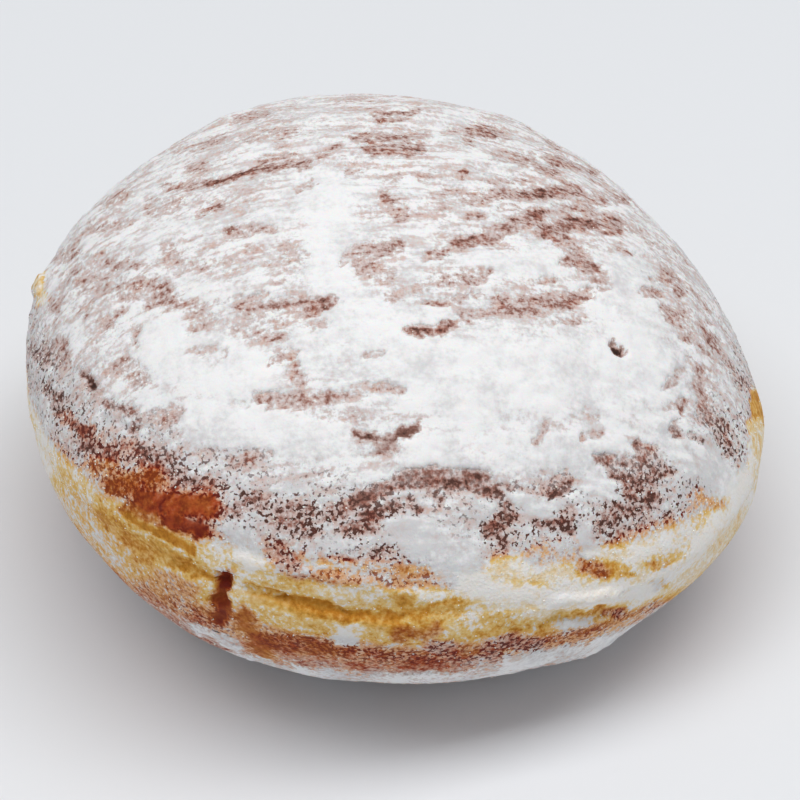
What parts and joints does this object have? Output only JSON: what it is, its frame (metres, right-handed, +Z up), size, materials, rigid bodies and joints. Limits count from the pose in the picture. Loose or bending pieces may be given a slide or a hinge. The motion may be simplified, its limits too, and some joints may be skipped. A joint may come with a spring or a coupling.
{
  "type": "bavarian cream doughnut",
  "caption": "Round filled doughnut of fried yeast dough, dusted with powdered sugar, with a pale waist and a flat foot it rests on.",
  "frame": {"origin": "centre of the doughnut's box, on the table it rests on", "axes": "+Z up out of the dome, -Y towards the side that the picture shows as the front, +X to its right"},
  "size_m": [0.0938, 0.0946, 0.0531],
  "materials": {
    "fried_crust": "dry fried crust, red-brown on the dome and pale gold round the waist",
    "powdered_sugar": "matt white powder that lies thick and smooth in some places and thin and speckled in others"
  },
  "bodies": {
    "root": {"doughnut": "fried_crust"}
  },
  "joints": []
}
